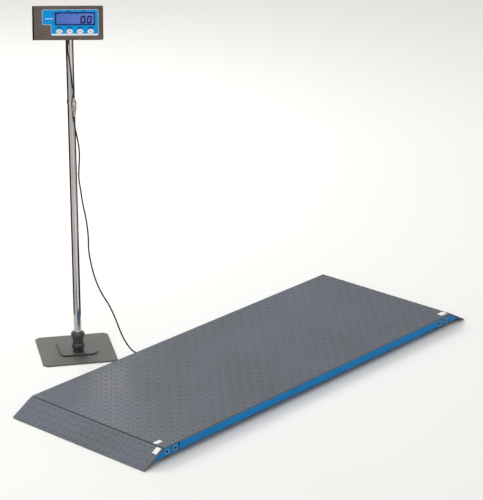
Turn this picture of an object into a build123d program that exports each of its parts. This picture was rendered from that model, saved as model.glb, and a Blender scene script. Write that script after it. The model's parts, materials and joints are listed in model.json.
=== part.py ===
from build123d import *
import os
from math import atan2, cos, degrees, hypot, pi, radians, sin, tan

# A portable pallet scale: a low live platform with a ramp at each end, four shear-beam load
# cells on levelling feet, and a free-standing column that carries the weight indicator.
# Millimetres. X runs along the platform, Y across it towards the column, Z up from the floor.
# The origin is on the floor, under the middle of the whole object without its free cables.

# ---------------------------------------------------------------- platform sizes
platform_length = 2134.0      # ramp tip to ramp tip
platform_width = 762.0
deck_height = 66.0            # tread surface above the floor
deck_thickness = 6.0
ramp_run = 110.0              # level length of one ramp
ramp_tip_gap = 3.0            # live platform, so the ramps float above the floor
ramp_tip_thickness = 3.0
fold_gap = 5.0                # groove between deck and ramp

rail_height = 32.0            # channel under the deck plate
rail_flange = 35.0
rail_wall = 5.0
rail_setback = 97.0           # from the fold to the end of a side rail

gusset_thickness = 8.0
gusset_drop = 44.0            # lower edge below the tread surface
gusset_tongue = 70.0          # lap inside the rail
gusset_gap = 1.0
kit_hole_offsets = (77.0, 27.0)   # holes, measured in from the fold
kit_hole_drop = 26.7              # below the tread surface
kit_hole_diameter = 14.0
bushing_diameter = 20.0
bushing_length = 16.0

end_bar_setback = 157.0       # from the fold to the cross bar outside the feet
cell_bar_distance = 240.0     # from a foot in to the cross bar past its load cell
middle_bar_places = (-250.0, 0.0, 250.0)
cross_bar_width = 50.0
cross_bar_wall = 5.0
lead_hole_diameter = 11.0
fold_bar_clearance = 1.8      # between a fold bar and the nearer bushings

# ---------------------------------------------------------------- load cells and feet
cell_length = 130.0
cell_width = 32.0
cell_height = 32.0
cell_setback = 217.0          # from the fold to the foot axis
cell_inset_y = 296.0
foot_to_cell_end = 16.0
foot_to_bolt = 76.2
bolt_pitch = 25.4
bolt_diameter = 12.0
spacer_thickness = 6.0
gauge_pocket_diameter = 20.0
gauge_pocket_depth = 7.0
stem_diameter = 12.0
running_clearance = 0.06      # radial, wherever something turns in a hole
foot_disc_diameter = 44.0
foot_disc_thickness = 6.0
foot_pad_diameter = 50.0
foot_pad_thickness = 6.0
lock_nut_height = 6.0
lock_nut_flats = 19.0
stem_top_gap = 4.0            # below the top of the load cell

lead_diameter = 5.0
lead_drop = 16.0              # centre line of the wiring below the deck plate
lead_boss_length = 8.0
lead_boss_diameter = 11.0
lead_bend = 45.0

# ---------------------------------------------------------------- junction box and rear gland
box_length = 110.0
box_width = 80.0
box_wall = 2.5
box_height = 27.0
box_lid_thickness = 3.0
box_place = (-341.0, 270.0)   # from the platform's middle
small_gland_diameter = 14.0
small_gland_length = 10.0
front_lead_places = (-365.0, -320.0)
cable_place = -300.0          # where the platform cable passes the rear rail
cable_diameter = 6.5
gland_flats = 18.0
gland_hex_length = 6.0
gland_dome_length = 12.0

# ---------------------------------------------------------------- stand sizes
stand_place = (-392.0, 685.0)  # column axis from the platform's middle
stand_turn = -36.3             # turn of the base plate about the column
base_size = 332.0
base_offset = (-7.0, 24.0)     # plate centre from the column axis, along the plate's edges
base_thickness = 6.0
base_clip = 17.0
column_diameter = 33.4
column_wall = 2.2
column_height = 1497.0         # top of the tube above the floor
column_foot = 20.0             # lower end of the tube above the floor
socket_height = 92.0
socket_body_diameter = 48.0
socket_collar_diameter = 61.0
socket_ring_diameter = 58.0

hook_rod_diameter = 7.0
# Knots of the cable hook along the plate's edges, with the last one lifted off the plate.
hook_points = ((-87, 88, 0), (-81, -55, 0), (65, -55, 0), (81, -42, 5))
hook_bends = (28.0, 30.0)

connector_angle = 26.475       # round the column, from straight ahead in the head's frame
connector_gap = 0.787          # between the column and the plug's ring
connector_bottom = 1107.0
plug_length = 48.0
receptacle_length = 37.0
plug_diameter = 22.0
receptacle_diameter = 19.0
plug_tail_diameter = 12.0
clip_height = 14.0
clip_wall = 2.0

# ---------------------------------------------------------------- indicator sizes
head_turn = -47.1              # direction of the indicator's width
head_tilt = 12.5               # face leaned back at rest
head_centre = (0.0, 100.0, 1537.0)   # face centre: beside, in front of the column axis, height
head_width = 294.0
head_height = 142.0
head_depth = 60.0
head_wall = 2.0
head_corner = 3.0
flange_width = 12.0
gasket_thickness = 1.5
cover_thickness = 2.0
overlay_thickness = 0.8
window_place = (31.3, 18.0)
window_size = (162.6, 49.3)
window_thickness = 2.6
window_flange = 4.0
window_flange_thickness = 1.5
pane_clearance = 0.2
overlay_left, overlay_right = -106.1, 130.2
overlay_bottom, overlay_top = -51.8, 56.8
overlay_notch = (-69.4, -7.1)
overlay_corner = 7.0

key_row = -34.8
key_first = -34.4
key_pitch = 43.7
key_size = (27.0, 18.5)
key_clearance = 0.35           # around each key, which travels
key_proud = 0.8
key_flange_extra = 2.0
key_flange_thickness = 1.6
plunger_diameter = 6.0
plunger_end = -12.0
switch_top = -13.8

board_size = (266.0, 118.0)
board_thickness = 1.6
board_front = -18.4
display_depth = 9.0
display_margin = 6.0
post_diameter = 7.0
battery_size = (120.0, 52.0)
battery_front_gap = 8.0        # to the board
battery_rear_gap = 6.0         # to the rear edge of the housing
battery_place = (-75.0, -36.0)
cover_screw_diameter = 4.0
cover_screw_head = 7.0

pivot_distance = 16.0          # tilt axis behind the bracket plate
bracket_plate = (80.0, 50.0, 3.0)
ear_thickness = 5.0
ear_radius = 10.5
lug_width = 16.0
side_gap = 0.3                 # between faces that slide past each other
tilt_bolt_diameter = 8.0
knob_diameter = 28.0
knob_length = 14.0
knob_lobes = 6
cap_diameter = 41.0
cap_cover = 30.0               # overlap of the cap on the column
cap_top_thickness = 4.0
head_gland_inset = 16.0        # from the rear edge of the housing
head_gland_side = -4.0         # from the column axis
head_gland_length = 22.0
head_gland_diameter = 15.0
indicator_lead_diameter = 6.0

# ---------------------------------------------------------------- places worked out
half_deck = platform_length / 2 - ramp_run
half_width = platform_width / 2
deck_under = deck_height - deck_thickness
rail_bottom = deck_under - rail_height
gusset_bottom = deck_height - gusset_drop
gusset_face = half_width - rail_wall
ramp_fall = deck_height - ramp_tip_gap - ramp_tip_thickness
ramp_slope = ramp_fall / ramp_run
ramp_plumb = deck_thickness * hypot(1, ramp_slope)   # plate thickness measured upright
cell_top = deck_under - spacer_thickness
cell_bottom = cell_top - cell_height
kit_hole_height = deck_height - kit_hole_drop
rail_end = half_deck - rail_setback
cell_inset_x = half_deck - cell_setback
outer_bar_places = (cell_inset_x - cell_bar_distance, half_deck - end_bar_setback)
cross_bar_places = sorted(middle_bar_places + outer_bar_places
                          + tuple(-place for place in outer_bar_places))
lead_height = deck_under - lead_drop
head_gland_depth = -(head_depth - head_gland_inset)
battery_front = board_front - board_thickness - battery_front_gap
battery_rear = -(head_depth - battery_rear_gap)
connector_reach = column_diameter / 2 + plug_diameter / 2 + connector_gap
connector_place = (connector_reach * sin(radians(connector_angle)),
                   connector_reach * cos(radians(connector_angle)))


def plate_corners():
    """Outline of the stand's base plate about the column axis: a square with clipped corners."""
    half = base_size / 2
    inner = half - base_clip
    square = [(half, -inner), (half, inner), (inner, half), (-inner, half),
              (-half, inner), (-half, -inner), (-inner, -half), (inner, -half)]
    shifted = [(x + base_offset[0], y + base_offset[1]) for x, y in square]
    c, s = cos(radians(stand_turn)), sin(radians(stand_turn))
    return [(x * c - y * s, x * s + y * c) for x, y in shifted]


# The floor plan's middle lies between the near side of the platform and the far plate corner.
plan_far = stand_place[1] + max(y for x, y in plate_corners())
platform_y = -(plan_far - half_width) / 2
stand_x = stand_place[0]
stand_y = stand_place[1] + platform_y
ends = (-1, 1)
sides = (-1, 1)

os.makedirs("parts", exist_ok=True)


def save(name, shape):
    """Write one node. A list is a group of separate solids."""
    solids = shape if isinstance(shape, list) else [shape]
    bodies = [solid for item in solids for solid in item.solids()]
    node = bodies[0] if len(bodies) == 1 else Compound(children=bodies)
    export_step(node, f"parts/{name}.step")


def block(x0, x1, y0, y1, z0, z1):
    """A box between two corners, placed on the platform (Y counted from its middle)."""
    size = Box(x1 - x0, y1 - y0, z1 - z0)
    return Pos((x0 + x1) / 2, (y0 + y1) / 2 + platform_y, (z0 + z1) / 2) * size


def rod(start, direction, radius, length):
    """A cylinder that begins at start and runs along direction."""
    return Plane(origin=start, z_dir=direction) * Cylinder(
        radius, length, align=(Align.CENTER, Align.CENTER, Align.MIN))


def hexagon_bar(start, direction, flats, length):
    """A hexagonal bar that begins at start and runs along direction."""
    outline = RegularPolygon(flats / 2, 6, major_radius=False)
    return Plane(origin=start, z_dir=direction) * extrude(outline, length)


def side_profile(points, y0, y1):
    """An outline in X and Z, extruded across the platform from y0 to y1."""
    face = make_face(Polyline(*[(x, 0, z) for x, z in points], close=True))
    solid = extrude(face, amount=y1 - y0, dir=(0, 1, 0))
    return Pos(0, y0 + platform_y, 0) * solid


def ramp_top(distance):
    """Height of the ramp's upper face at a distance out from the fold."""
    return deck_height - ramp_slope * distance


def tube_along(points, diameter, label):
    """A cable: straight runs joined by arcs as large as the runs allow."""
    knots = [Vector(*p) for p in points]
    runs = [(b - a).length for a, b in zip(knots, knots[1:])]
    radii = []
    for i in range(1, len(knots) - 1):
        turn = radians((knots[i] - knots[i - 1]).get_angle(knots[i + 1] - knots[i]))
        radii.append(0.45 * min(runs[i - 1], runs[i]) / tan(turn / 2))
    path = FilletPolyline(*knots, radius=radii)
    section = Plane(origin=knots[0], z_dir=knots[1] - knots[0]) * Circle(diameter / 2)
    tube = sweep(section, path=path)
    expected = pi * diameter ** 2 / 4 * path.length
    print(label, "length", round(path.length, 1), "volume ratio", round(tube.volume / expected, 4),
          "longest run", round(max(runs), 1), "smallest radius", round(min(radii), 1),
          "radii", [round(r) for r in radii])
    return tube


# ---------------------------------------------------------------- deck, ramps and frame
def make_deck():
    edge = half_deck - fold_gap / 2
    save("deck_plate", block(-edge, edge, -half_width, half_width, deck_under, deck_height))


def make_ramp(end):
    start = fold_gap / 2
    low = ramp_tip_gap
    under_stop = (deck_height - ramp_plumb - low) / ramp_slope
    outline = [(start, ramp_top(start)), (ramp_run, ramp_top(ramp_run)), (ramp_run, low),
               (under_stop, low), (start, ramp_top(start) - ramp_plumb)]
    points = [(end * (half_deck + x), z) for x, z in outline]
    return side_profile(points, -half_width, half_width)


def make_rail(side):
    outer = side * half_width
    inner = side * (half_width - rail_flange)
    web_inner = side * (half_width - rail_wall)
    y = sorted((outer, inner))
    hollow = sorted((web_inner, inner))
    rail = block(-rail_end, rail_end, *y, rail_bottom, deck_under)
    rail -= block(-rail_end, rail_end, *hollow, rail_bottom + rail_wall, deck_under - rail_wall)
    if side > 0:
        seat = Vector(cable_place, platform_y + web_inner - 1, lead_height)
        rail -= rod(seat, (0, 1, 0), gland_flats / 2 - 1, rail_wall + 2)
    return rail


def make_gusset(end, side):
    inner_face = gusset_face - gusset_thickness
    y = sorted((side * gusset_face, side * inner_face))
    low_point = (deck_height - ramp_plumb - gusset_bottom) / ramp_slope
    fold_under = deck_height - ramp_plumb
    root = rail_end + gusset_gap
    tongue = rail_end - gusset_tongue
    outline = [(tongue, rail_bottom + rail_wall), (root, rail_bottom + rail_wall),
               (root, gusset_bottom), (half_deck + low_point, gusset_bottom),
               (half_deck + fold_gap / 2, fold_under - ramp_slope * fold_gap / 2),
               (half_deck - fold_gap / 2, fold_under - ramp_slope * fold_gap / 2),
               (half_deck - fold_gap / 2, deck_under), (root, deck_under),
               (root, deck_under - rail_wall), (tongue, deck_under - rail_wall)]
    plate = side_profile([(end * x, z) for x, z in outline], *y)
    for x, y_face in kit_holes(end, side):
        start = (x, y_face, kit_hole_height)
        plate -= rod(start, (0, -side, 0), bushing_diameter / 2, gusset_thickness)
    return plate


def kit_holes(end, side):
    """Places of the two holes in one gusset, on its outer face."""
    return [(end * (half_deck - offset), platform_y + side * gusset_face)
            for offset in kit_hole_offsets]


def make_bushings():
    group = []
    for end in ends:
        for side in sides:
            for x, y_face in kit_holes(end, side):
                start = (x, y_face, kit_hole_height)
                sleeve = rod(start, (0, -side, 0), bushing_diameter / 2, bushing_length)
                sleeve -= rod(start, (0, -side, 0), kit_hole_diameter / 2, bushing_length)
                group.append(sleeve)
    return group


def make_cross_bars():
    group = []
    reach = half_width - rail_flange
    for x in cross_bar_places:
        x0, x1 = x - cross_bar_width / 2, x + cross_bar_width / 2
        bar = block(x0, x1, -reach, reach, rail_bottom, deck_under)
        bar -= block(x0 + cross_bar_wall, x1 - cross_bar_wall, -reach, reach,
                     rail_bottom, deck_under - cross_bar_wall)
        for side in sides:
            start = (x0, platform_y + side * cell_inset_y, lead_height)
            bar -= rod(start, (1, 0, 0), lead_hole_diameter / 2, cross_bar_width)
        group.append(bar)
    return group


def make_fold_bars():
    group = []
    reach = gusset_face - gusset_thickness
    outer = half_deck - fold_gap / 2
    inner = half_deck - min(kit_hole_offsets) + bushing_diameter / 2 + fold_bar_clearance
    for end in ends:
        x = sorted((end * outer, end * inner))
        group.append(block(*x, -reach, reach, rail_bottom, deck_under))
    return group


# ---------------------------------------------------------------- load cells and feet
corners = [(end, side) for side in sides for end in ends]


def cell_frame(end, side):
    """Foot axis of one load cell, and the direction from the foot towards the bolts."""
    return end * cell_inset_x, platform_y + side * cell_inset_y, -end


def make_cell(end, side):
    x, y, inward = cell_frame(end, side)
    middle = x + inward * (cell_length / 2 - foot_to_cell_end)
    cell = Pos(middle, y, cell_bottom + cell_height / 2) * Box(cell_length, cell_width, cell_height)
    foot_hole = stem_diameter / 2 + running_clearance
    cell -= rod((x, y, cell_bottom), (0, 0, 1), foot_hole, cell_height)
    for bolt_x in bolt_places(x, inward):
        cell -= rod((bolt_x, y, cell_bottom), (0, 0, 1), bolt_diameter / 2, cell_height)
    gauge_x = x + inward * foot_to_bolt / 2
    for face in sides:
        start = (gauge_x, y + face * cell_width / 2, cell_bottom + cell_height / 2)
        cell -= rod(start, (0, -face, 0), gauge_pocket_diameter / 2, gauge_pocket_depth)
    boss_start = (x + inward * (cell_length - foot_to_cell_end), y, lead_height)
    cell += rod(boss_start, (inward, 0, 0), lead_boss_diameter / 2, lead_boss_length)
    return cell


def bolt_places(x, inward):
    return [x + inward * foot_to_bolt, x + inward * (foot_to_bolt + bolt_pitch)]


def make_spacer(end, side):
    x, y, inward = cell_frame(end, side)
    middle = x + inward * (foot_to_bolt + bolt_pitch / 2)
    spacer = Pos(middle, y, cell_top + spacer_thickness / 2) * Box(54, 48, spacer_thickness)
    for bolt_x in bolt_places(x, inward):
        spacer -= rod((bolt_x, y, cell_top), (0, 0, 1), bolt_diameter / 2, spacer_thickness)
    return spacer


def make_cell_bolts():
    head_height = 7.5
    group = []
    for end, side in corners:
        x, y, inward = cell_frame(end, side)
        for bolt_x in bolt_places(x, inward):
            bolt = hexagon_bar((bolt_x, y, cell_bottom - head_height), (0, 0, 1), 18, head_height)
            bolt += rod((bolt_x, y, cell_bottom), (0, 0, 1), bolt_diameter / 2,
                        cell_height + spacer_thickness)
            group.append(bolt)
    return group


def make_foot(end, side):
    x, y, inward = cell_frame(end, side)
    low = foot_pad_thickness
    neck = low + foot_disc_thickness
    foot = rod((x, y, low), (0, 0, 1), foot_disc_diameter / 2, foot_disc_thickness)
    foot = chamfer(foot.edges().group_by(Axis.Z)[-1], 2)
    foot += Pos(x, y, neck + 1.5) * Cone(11, 8, 3)
    foot += rod((x, y, neck), (0, 0, 1), stem_diameter / 2, cell_top - stem_top_gap - neck)
    return foot


def make_foot_pad(end, side):
    x, y, inward = cell_frame(end, side)
    pad = rod((x, y, 0), (0, 0, 1), foot_pad_diameter / 2, foot_pad_thickness)
    return chamfer(pad.edges().group_by(Axis.Z)[-1], 1.5)


def make_lock_nuts():
    group = []
    for end, side in corners:
        x, y, inward = cell_frame(end, side)
        low = cell_bottom - lock_nut_height
        nut = hexagon_bar((x, y, low), (0, 0, 1), lock_nut_flats, lock_nut_height)
        nut -= rod((x, y, low), (0, 0, 1), stem_diameter / 2 + running_clearance, lock_nut_height)
        group.append(nut)
    return group


# ---------------------------------------------------------------- wiring under the deck
box_x, box_y = box_place
box_left, box_right = box_x - box_length / 2, box_x + box_length / 2
box_front, box_back = box_y - box_width / 2, box_y + box_width / 2
box_floor = deck_under - box_height


def gland_places():
    """Wall point and outward direction of the five glands of the junction box."""
    places = [((box_left, cell_inset_y), (-1, 0, 0)), ((box_right, cell_inset_y), (1, 0, 0))]
    places += [((x, box_front), (0, -1, 0)) for x in front_lead_places]
    places.append(((cable_place, box_back), (0, 1, 0)))
    return [((x, y + platform_y, lead_height), way) for (x, y), way in places]


def make_junction_box():
    shell = block(box_left, box_right, box_front, box_back, box_floor, deck_under)
    shell = fillet(shell.edges().filter_by(Axis.Z), 4)
    shell -= block(box_left + box_wall, box_right - box_wall, box_front + box_wall,
                   box_back - box_wall, box_floor, deck_under - box_wall)
    for start, way in gland_places():
        hole = Vector(*start) - Vector(*way) * (box_wall + 1)
        shell -= rod(hole, way, small_gland_diameter / 2 - 2, box_wall + 2)
    return shell


def make_junction_lid():
    lid = block(box_left, box_right, box_front, box_back, box_floor - box_lid_thickness, box_floor)
    lid = fillet(lid.edges().filter_by(Axis.Z), 4)
    lip = box_wall + 0.2
    lid += block(box_left + lip + 2, box_right - lip - 2, box_front + lip + 2, box_back - lip - 2,
                 box_floor, box_floor + 2)
    return lid


def make_junction_glands():
    group = []
    for index, (start, way) in enumerate(gland_places()):
        inside = Vector(*start) - Vector(*way) * (box_wall + 2)
        gland = hexagon_bar(start, way, small_gland_diameter - 1, 4)
        gland += rod(start, way, small_gland_diameter / 2 - 1, small_gland_length)
        gland += rod(inside, way, small_gland_diameter / 2 - 2, box_wall + 2)
        group.append(gland)
    return group


def make_cell_lead(end, side):
    x, y, inward = cell_frame(end, side)
    start_x = x + inward * (cell_length - foot_to_cell_end + lead_boss_length)
    if side > 0:
        wall = box_left if end < 0 else box_right
        stop_x = wall + end * small_gland_length
        reach = abs(stop_x - start_x)
        return rod((start_x, y, lead_height), (inward, 0, 0), lead_diameter / 2, reach)
    turn_x = front_lead_places[0] if end < 0 else front_lead_places[1]
    stop_y = platform_y + box_front - small_gland_length
    path = FilletPolyline((start_x, y, lead_height), (turn_x, y, lead_height),
                          (turn_x, stop_y, lead_height), radius=lead_bend)
    start_plane = Plane(origin=(start_x, y, lead_height), z_dir=(inward, 0, 0))
    section = start_plane * Circle(lead_diameter / 2)
    return sweep(section, path=path)


def make_rail_gland():
    outer = platform_y + half_width
    inner = outer - rail_wall
    y = (0, 1, 0)
    gland = hexagon_bar((cable_place, outer, lead_height), y, gland_flats, gland_hex_length)
    gland += hexagon_bar((cable_place, inner - gland_hex_length, lead_height), y,
                         gland_flats, gland_hex_length)
    gland += rod((cable_place, inner, lead_height), y, gland_flats / 2 - 1, rail_wall)
    dome_start = outer + gland_hex_length
    dome = rod((cable_place, dome_start, lead_height), y, gland_flats / 2 - 0.5, gland_dome_length)
    gland += fillet(dome.edges().sort_by(Axis.Y)[-1], 4)
    return gland


def make_inner_cable():
    start = platform_y + box_back + small_gland_length
    stop = platform_y + half_width - rail_wall - gland_hex_length
    return rod((cable_place, start, lead_height), (0, 1, 0), cable_diameter / 2, stop - start)


# ---------------------------------------------------------------- stand
def stand_point(x, y, z):
    """A point given along the base plate's own edges, about the column axis."""
    c, s = cos(radians(stand_turn)), sin(radians(stand_turn))
    return Vector(stand_x + x * c - y * s, stand_y + x * s + y * c, z)


def make_base_plate():
    outline = [(stand_x + x, stand_y + y) for x, y in plate_corners()]
    plate = extrude(make_face(Polyline(*outline, close=True)), base_thickness)
    return chamfer(plate.edges().group_by(Axis.Z)[-1], 1)


def make_socket():
    low = base_thickness
    top = low + socket_height
    body, ring = socket_body_diameter / 2, socket_ring_diameter / 2
    collar = socket_collar_diameter / 2
    bore = column_diameter / 2
    foot = column_foot
    outline = [(0, low), (body, low), (body, low + 16), (ring - 1, low + 21), (ring, low + 25),
               (ring, low + 33), (ring - 1, low + 36), (body, low + 42), (body, low + 64),
               (collar - 2, low + 69), (collar, low + 72), (collar, top - 5), (collar - 3, top),
               (bore, top), (bore, foot), (0, foot)]
    face = make_face(Polyline(*[(r, 0, z) for r, z in outline], close=True))
    return Pos(stand_x, stand_y, 0) * revolve(face, Axis.Z)


def make_column():
    axis_start = (stand_x, stand_y, column_foot)
    length = column_height - column_foot
    tube = rod(axis_start, (0, 0, 1), column_diameter / 2, length)
    return tube - rod(axis_start, (0, 0, 1), column_diameter / 2 - column_wall, length)


def make_hook():
    z = base_thickness + hook_rod_diameter / 2
    knots = [stand_point(x, y, z + rise) for x, y, rise in hook_points]
    path = FilletPolyline(*knots, radius=list(hook_bends))
    section = Plane(origin=knots[0], z_dir=knots[1] - knots[0]) * Circle(hook_rod_diameter / 2)
    return sweep(section, path=path)


# Directions of the indicator: across its face, and level out of it towards the reader.
across = Vector(cos(radians(head_turn)), sin(radians(head_turn)), 0)
forward = Vector(sin(radians(head_turn)), -cos(radians(head_turn)), 0)


def column_point(side, front, z):
    """A point beside and in front of the column axis, in the indicator's directions."""
    return Vector(stand_x, stand_y, z) + across * side + forward * front


connector_xy = column_point(*connector_place, 0)


def make_plug():
    low = connector_bottom
    outline = [(0, 0), (plug_tail_diameter / 2, 0), (plug_tail_diameter / 2, 10),
               (plug_diameter / 2 - 3, 16), (plug_diameter / 2 - 3, 26), (plug_diameter / 2, 28),
               (plug_diameter / 2, plug_length), (0, plug_length)]
    face = make_face(Polyline(*[(r, 0, z) for r, z in outline], close=True))
    return Pos(connector_xy.X, connector_xy.Y, low) * revolve(face, Axis.Z)


def make_receptacle():
    low = connector_bottom + plug_length
    wide, tail = receptacle_diameter / 2, plug_tail_diameter / 2
    outline = [(0, 0), (wide, 0), (wide, 22), (tail + 1, 25), (tail, 28),
               (tail, receptacle_length), (0, receptacle_length)]
    face = make_face(Polyline(*[(r, 0, z) for r, z in outline], close=True))
    return Pos(connector_xy.X, connector_xy.Y, low) * revolve(face, Axis.Z)


def make_clip():
    """A band round the column and the receptacle, with a web between them."""
    low = connector_bottom + plug_length + 4
    column_axis = (stand_x, stand_y, low)
    socket_axis = (connector_xy.X, connector_xy.Y, low)
    up = (0, 0, 1)
    between = Vector(*socket_axis) - Vector(*column_axis)
    angle = degrees(atan2(between.Y, between.X))
    web_middle = Vector(*column_axis) + between * 0.5 + Vector(0, 0, clip_height / 2)
    clip = rod(column_axis, up, column_diameter / 2 + clip_wall, clip_height)
    clip += rod(socket_axis, up, receptacle_diameter / 2 + clip_wall, clip_height)
    clip += Pos(*web_middle) * Rot(0, 0, angle) * Box(between.length, 12, clip_height)
    clip -= rod(column_axis, up, column_diameter / 2, clip_height)
    return clip - rod(socket_axis, up, receptacle_diameter / 2, clip_height)


# Centre line of the platform cable, from the plug down to the gland in the rear rail.
platform_cable_route = [
    (-402.03, 383.6, 1107.0), (-402.03, 383.6, 1066.0), (-397.3, 372.6, 1012.0),
    (-393.8, 364.3, 950.0), (-395.4, 368.0, 893.0), (-397.1, 372.1, 830.0),
    (-393.8, 364.3, 775.0), (-391.1, 357.8, 716.0), (-385.0, 343.6, 645.0),
    (-381.9, 336.2, 568.0), (-382.5, 337.6, 497.0), (-377.0, 324.7, 420.0),
    (-369.5, 307.2, 356.0), (-359.0, 282.4, 300.0), (-346.5, 253.0, 256.0),
    (-337.1, 230.9, 205.0), (-329.7, 213.4, 155.0), (-321.5, 197.3, 110.0), (-313, 181.3, 79.0),
    (-305, 164.4, 54.5), (-300, 143.4, 44.0), (-300, 124.26, 44.0)]

# Centre line of the indicator lead, from the gland under the indicator to the receptacle,
# as (beside, in front of, above) the foot of the column axis.
indicator_lead_route = [
    (-4.0, 77.18, 1436.63), (-4.0, 80.48, 1421.74), (-3.0, 78.3, 1402.0), (-1.0, 69.0, 1383.5),
    (0.8, 56.5, 1364.0), (2.2, 45.0, 1341.0), (4.0, 36.5, 1314.0), (6.0, 30.5, 1281.0),
    (8.6, 27.2, 1250.0), (11.3, 25.9, 1229.0), (12.7, 25.5, 1209.5), (12.7, 25.5, 1192.0)]


# ---------------------------------------------------------------- indicator
tilt = radians(head_tilt)
face_normal = forward * cos(tilt) + Vector(0, 0, sin(tilt))
face_centre = column_point(*head_centre)
head_plane = Plane(origin=face_centre, x_dir=across, z_dir=face_normal)
cover_back = -head_depth - gasket_thickness - cover_thickness
pivot_back = cover_back - bracket_plate[2] - pivot_distance
pivot_side = -head_centre[0]          # the bracket sits over the column axis
gland_side = head_gland_side - head_centre[0]


def head_block(x0, x1, y0, y1, z0, z1):
    """A box in the indicator's own frame: across the face, up it, and out of it."""
    return Pos((x0 + x1) / 2, (y0 + y1) / 2, (z0 + z1) / 2) * Box(x1 - x0, y1 - y0, z1 - z0)


def head_disc(x, y, z0, z1, radius):
    return Pos(x, y, z0) * Cylinder(radius, z1 - z0, align=(Align.CENTER, Align.CENTER, Align.MIN))


def oval(x, y, width, height, z0, z1):
    return Pos(x, y, z0) * extrude(Ellipse(width / 2, height / 2), z1 - z0)


def key_centres():
    return [(key_first + key_pitch * i, key_row) for i in range(4)]


def post_places():
    x, y = board_size[0] / 2 - 7, board_size[1] / 2 - 6
    return [(i * x, j * y) for i in (-1, 1) for j in (-1, 1)]


def cover_screw_places():
    x = head_width / 2 - head_wall - flange_width / 2
    y = head_height / 2 - head_wall - flange_width / 2
    return [(i * x, j * y) for i in (-1, 0, 1) for j in (-1, 1)]


def make_housing():
    w, h = head_width / 2, head_height / 2
    shell = head_block(-w, w, -h, h, -head_depth, 0)
    shell = fillet(shell.edges().filter_by(Axis.Z), head_corner)
    inner_w, inner_h = w - head_wall, h - head_wall
    shell -= head_block(-inner_w, inner_w, -inner_h, inner_h, -head_depth + head_wall, -head_wall)
    rim_w, rim_h = inner_w - flange_width, inner_h - flange_width
    shell -= head_block(-rim_w, rim_w, -rim_h, rim_h, -head_depth, -head_depth + head_wall)
    for x, y in cover_screw_places():
        shell -= head_disc(x, y, -head_depth, -head_depth + head_wall, cover_screw_diameter / 2)
    wx, wy = window_place
    ww, wh = window_size[0] / 2, window_size[1] / 2
    shell -= head_block(wx - ww, wx + ww, wy - wh, wy + wh, -head_wall, 0)
    for x, y in key_centres():
        shell -= oval(x, y, key_size[0] + 2 * key_clearance, key_size[1] + 2 * key_clearance,
                      -head_wall, 0)
    for x, y in post_places():
        shell += head_disc(x, y, board_front, -head_wall, post_diameter / 2)
    gland_hole = Pos(gland_side, -h, head_gland_depth) * Rot(-90, 0, 0) * Cylinder(
        head_gland_diameter / 2 - 1.5, 2 * head_wall + 2)
    return shell - gland_hole


def make_rear_cover():
    w, h = head_width / 2, head_height / 2
    front = -head_depth - gasket_thickness
    cover = head_block(-w, w, -h, h, cover_back, front)
    cover = fillet(cover.edges().filter_by(Axis.Z), head_corner)
    for x, y in cover_screw_places():
        cover -= head_disc(x, y, cover_back, front, cover_screw_diameter / 2)
    return cover


def make_gasket():
    w, h = head_width / 2 - head_wall, head_height / 2 - head_wall
    rim_w, rim_h = w - flange_width, h - flange_width
    back = -head_depth - gasket_thickness
    ring = head_block(-w, w, -h, h, back, -head_depth)
    ring -= head_block(-rim_w, rim_w, -rim_h, rim_h, back, -head_depth)
    for x, y in cover_screw_places():
        ring -= head_disc(x, y, back, -head_depth, cover_screw_diameter / 2)
    return ring


def make_cover_screws():
    group = []
    for x, y in cover_screw_places():
        screw = head_disc(x, y, cover_back - 2.2, cover_back, cover_screw_head / 2)
        screw += head_disc(x, y, cover_back, -head_depth + head_wall + 2, cover_screw_diameter / 2)
        group.append(screw)
    return group


def make_overlay():
    notch_x, notch_y = overlay_notch
    corner_points = [(overlay_left, overlay_top), (overlay_right, overlay_top),
                     (overlay_right, overlay_bottom), (notch_x, overlay_bottom),
                     (notch_x, notch_y), (overlay_left, notch_y)]
    sheet = extrude(make_face(Polyline(*corner_points, close=True)), overlay_thickness)
    sheet = fillet(sheet.edges().filter_by(Axis.Z), overlay_corner)
    wx, wy = window_place
    ww, wh = window_size[0] / 2, window_size[1] / 2
    sheet -= head_block(wx - ww, wx + ww, wy - wh, wy + wh, 0, overlay_thickness)
    for x, y in key_centres():
        sheet -= oval(x, y, key_size[0] + 2 * key_clearance, key_size[1] + 2 * key_clearance,
                      0, overlay_thickness)
    return sheet


def make_window():
    wx, wy = window_place
    ww, wh = window_size[0] / 2, window_size[1] / 2
    pane_w, pane_h = ww - pane_clearance, wh - pane_clearance
    back = -head_wall
    pane = head_block(wx - pane_w, wx + pane_w, wy - pane_h, wy + pane_h, back,
                      back + window_thickness)
    rim_w, rim_h = ww + window_flange, wh + window_flange
    rim = head_block(wx - rim_w, wx + rim_w, wy - rim_h, wy + rim_h,
                     back - window_flange_thickness, back)
    return pane + rim


def make_display():
    wx, wy = window_place
    w, h = window_size[0] / 2 + display_margin, window_size[1] / 2 + display_margin
    front = -head_wall - window_flange_thickness
    return head_block(wx - w, wx + w, wy - h, wy + h, front - display_depth, front)


def make_board():
    w, h = board_size[0] / 2, board_size[1] / 2
    back = board_front - board_thickness
    board = head_block(-w, w, -h, h, back, board_front)
    for x, y in key_centres():
        board += head_disc(x, y, board_front, switch_top, 3)
    board += head_block(-110, -80, 10, 40, back - 6, back)
    board += head_block(-60, -20, 14, 34, back - 4, back)
    board += head_block(30, 90, -50, -34, back - 10, back)
    return board


def make_battery():
    x, y = battery_place
    w, h = battery_size
    pack = head_block(x - w / 2, x + w / 2, y - h / 2, y + h / 2, battery_rear, battery_front)
    return fillet(pack.edges().filter_by(Axis.X), 4)


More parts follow.
